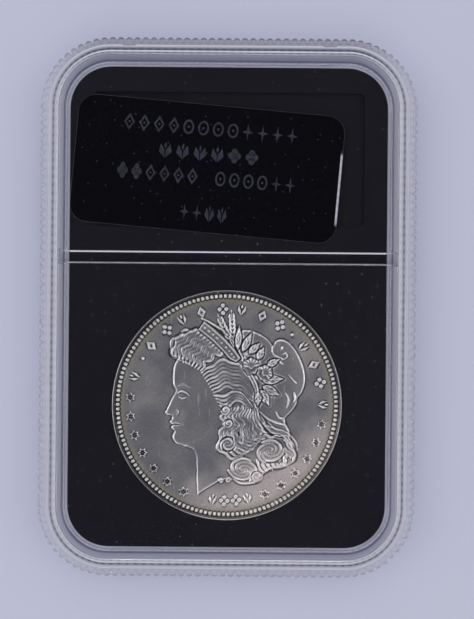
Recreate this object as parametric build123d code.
from build123d import *
import os

# Coin slab lying on its back. Origin at the bottom centre, +X to the right,
# +Y towards the label end, +Z out of the front window. Millimetres.
# "Inset" is a distance measured inwards from the tips of the knurled edge.

# --- whole slab ---
slab_width = 62.1
slab_height = 88.9
slab_thickness = 8.6
corner_radius = 11.6
parting_z = 4.3

# --- knurled edge ---
knurl_pitch = 1.36
knurl_depth = 0.42
flange_drop = 1.1

# --- stepped stacking rim, the same on the front and the back ---
crest_inset = 1.25
crest_height = 0.6
terraces = [(1.65, 0.25), (2.45, 0.45), (2.8, 0.6)]
edge_chamfer = 0.15
pry_notch_x = 16.5
pry_notch_width = 2.0
pry_notch_depth = 0.25

# --- shells ---
window_thickness = 1.2
skirt_inset = 2.75
nest_clearance = 0.05
wall_inset = skirt_inset + nest_clearance
cavity_inset = 4.05
wall_top_gap = 0.1

# --- cross rib under the front window ---
rib_y = 8.15
rib_width = 2.05
rib_play = 0.15
rib_bond = 0.2

# --- insert ---
insert_inset = 4.8
insert_back_thickness = 1.2
insert_front_thickness = 2.6
insert_chamfer = 0.12

# --- coin ---
coin_y = -16.2
coin_diameter = 38.1
coin_thickness = 2.4
coin_hole_clearance = 0.1
coin_lip = 1.35
coin_rim_width = 0.75
coin_rim_height = 0.2
reed_count = 188
reed_depth = 0.08

# --- gasket ---
gasket_fit = 0.05
gasket_width = 1.8
gasket_height = 1.0
gasket_z_above_lip = 0.7
gasket_groove_play = 0.05

# --- label and its pocket ---
pocket_width = 44.8
pocket_height = 22.2
pocket_depth = 0.6
pocket_y = 24.4
pocket_radius = 1.0
label_width = 44.2
label_height = 21.2
label_thickness = 0.45
label_radius = 3.0
label_centre = (-3.56, 22.85)
label_turn = -4.85
label_rest_gap = 0.05
adhesive_width = 36.0
adhesive_height = 14.0
adhesive_thickness = 0.15
adhesive_radius = 1.5

# --- how far a cutting block runs past what it cuts ---
overrun = 1.0

# --- derived levels ---
window_top = slab_thickness - crest_height
window_under = window_top - window_thickness
back_window_outer = crest_height
cavity_floor = back_window_outer + window_thickness
insert_split = cavity_floor + insert_back_thickness
insert_face = insert_split + insert_front_thickness
flange_top = slab_thickness - flange_drop


def rounded(inset, z_low, z_high):
    """A block with the slab's rounded outline, pulled in by inset."""
    outline = RectangleRounded(
        slab_width - 2 * inset, slab_height - 2 * inset, corner_radius - inset
    )
    return Pos(0, 0, z_low) * extrude(outline, amount=z_high - z_low)


def plate(width, height, radius, z_low, z_high):
    """A block with a rounded rectangular outline about the origin."""
    outline = RectangleRounded(width, height, radius)
    return Pos(0, 0, z_low) * extrude(outline, amount=z_high - z_low)


def disc(radius, z_low, z_high):
    """A disc on the coin's axis."""
    return Pos(0, coin_y, z_low) * extrude(Circle(radius), amount=z_high - z_low)


def knurled(z_low, z_high):
    """A block with the slab's outline, edged all round with half-round knurls."""
    valley = RectangleRounded(
        slab_width - 2 * knurl_depth,
        slab_height - 2 * knurl_depth,
        corner_radius - knurl_depth,
    ).wire()
    count = round(valley.length / knurl_pitch)
    step = valley.length / count
    arcs = []
    for index in range(count):
        start = valley.position_at(index * step, PositionMode.LENGTH)
        middle = (index + 0.5) * step
        end = valley.position_at(((index + 1) % count) * step, PositionMode.LENGTH)
        tangent = valley.tangent_at(middle, PositionMode.LENGTH)
        outward = Vector(tangent.Y, -tangent.X, 0)
        base = valley.position_at(middle, PositionMode.LENGTH)
        if outward.dot(base) < 0:
            outward = outward * -1
        arcs.append(ThreePointArc(start, base + outward * knurl_depth, end))
    return Pos(0, 0, z_low) * extrude(make_face(arcs), amount=z_high - z_low)


def top_edges(solid):
    """The edges of a block's uppermost face."""
    return solid.faces().sort_by(Axis.Z)[-1].edges()


def crest(z_low):
    """The raised stacking rim, standing up from z_low, with its pry notches."""
    height = flange_drop
    ring = rounded(crest_inset, z_low, z_low + height)
    ring = chamfer(top_edges(ring), edge_chamfer)
    for side in (-1, 1):
        notch = Box(pry_notch_width, pry_notch_depth * 2, height * 2)
        notch_y = slab_height / 2 - crest_inset
        ring -= Pos(side * pry_notch_x, notch_y, z_low + height) * notch
    return ring


def stepped_recess(top_z):
    """What the terraces and the window recess take out of a rim, from top_z down."""
    tool = None
    for inset, depth in terraces:
        step = rounded(inset, top_z - depth, top_z + overrun)
        tool = step if tool is None else tool + step
    return tool


def rib():
    """The cross rib, from side to side of the skirt, just over the insert."""
    length = slab_width - 2 * skirt_inset + 2 * rib_bond
    height = window_under - insert_face - rib_play + edge_chamfer
    block = Box(length, rib_width, height)
    return Pos(0, rib_y, window_under + edge_chamfer - height / 2) * block


def front_cover():
    """Front shell: knurled skirt, stacking rim, window and cross rib."""
    shell = knurled(parting_z, flange_top) + crest(flange_top)
    shell -= stepped_recess(slab_thickness)
    shell -= rounded(skirt_inset, parting_z - overrun, window_under)
    return shell + rib()


def back_cover():
    """Back shell: knurled flange, stacking rim, window and the nesting wall."""
    half = knurled(parting_z, flange_top) + crest(flange_top)
    half -= stepped_recess(slab_thickness)
    half = half.mirror(Plane.XY.offset(slab_thickness / 2))
    wall = rounded(wall_inset, back_window_outer + edge_chamfer, window_under - wall_top_gap)
    shell = half + wall
    shell -= rounded(cavity_inset, cavity_floor, slab_thickness)
    rib_slot = Box(slab_width, rib_width + 2 * rib_play, slab_thickness)
    slot_floor = insert_face + rib_play / 2
    return shell - Pos(0, rib_y, slot_floor + slab_thickness / 2) * rib_slot


def insert_front():
    """Face plate with the coin hole, the gasket groove and the label pocket."""
    body = rounded(insert_inset, insert_split, insert_face)
    body = chamfer(top_edges(body), insert_chamfer)
    hole = coin_diameter / 2 + coin_hole_clearance
    body -= disc(hole, insert_split - overrun, insert_face + overrun)
    groove = coin_diameter / 2 + gasket_fit + gasket_width + gasket_groove_play
    low = insert_split + gasket_z_above_lip - gasket_groove_play
    body -= disc(groove, low, low + gasket_height + 2 * gasket_groove_play)
    floor = insert_face - pocket_depth
    pocket = plate(pocket_width, pocket_height, pocket_radius, floor, insert_face + overrun)
    return body - Pos(0, pocket_y, 0) * pocket


def insert_back():
    """Rear plate whose smaller hole leaves a lip under the coin."""
    body = rounded(insert_inset, cavity_floor, insert_split)
    hole = coin_diameter / 2 - coin_lip
    return body - disc(hole, cavity_floor - overrun, insert_split + overrun)


def coin_gasket():
    """Soft ring that grips the coin's edge."""
    inner = coin_diameter / 2 + gasket_fit
    low = insert_split + gasket_z_above_lip
    ring = disc(inner + gasket_width, low, low + gasket_height)
    return ring - disc(inner, low - overrun, low + gasket_height + overrun)


def silver_coin():
    """Coin blank with raised rims and a reeded edge, resting on the lip."""
    low = insert_split
    high = low + coin_thickness
    radius = coin_diameter / 2
    coin = disc(radius, low, high)
    field = radius - coin_rim_width
    coin -= disc(field, high - coin_rim_height, high + overrun)
    coin -= disc(field, low - overrun, low + coin_rim_height)
    reed = Pos(radius, 0, (low + high) / 2) * Cylinder(reed_depth, coin_thickness + overrun)
    reeds = [Rot(0, 0, 360 / reed_count * index) * reed for index in range(reed_count)]
    return coin - [Pos(0, coin_y, 0) * cut for cut in reeds]


def label_plate():
    """Loose label, slightly turned, on the face of the insert."""
    low = insert_face + label_rest_gap
    body = plate(label_width, label_height, label_radius, low, low + label_thickness)
    return Pos(label_centre[0], label_centre[1], 0) * Rot(0, 0, label_turn) * body


def label_adhesive():
    """Double-sided patch on the floor of the label pocket."""
    low = insert_face - pocket_depth
    patch = plate(
        adhesive_width, adhesive_height, adhesive_radius, low, low + adhesive_thickness
    )
    return Pos(0, pocket_y, 0) * patch


pieces = [
    front_cover,
    back_cover,
    insert_front,
    insert_back,
    coin_gasket,
    silver_coin,
    label_plate,
    label_adhesive,
]

os.makedirs("parts", exist_ok=True)
for piece in pieces:
    solid = piece()
    export_step(solid, f"parts/{piece.__name__}.step")
    print(piece.__name__, round(solid.volume, 1), "mm3")
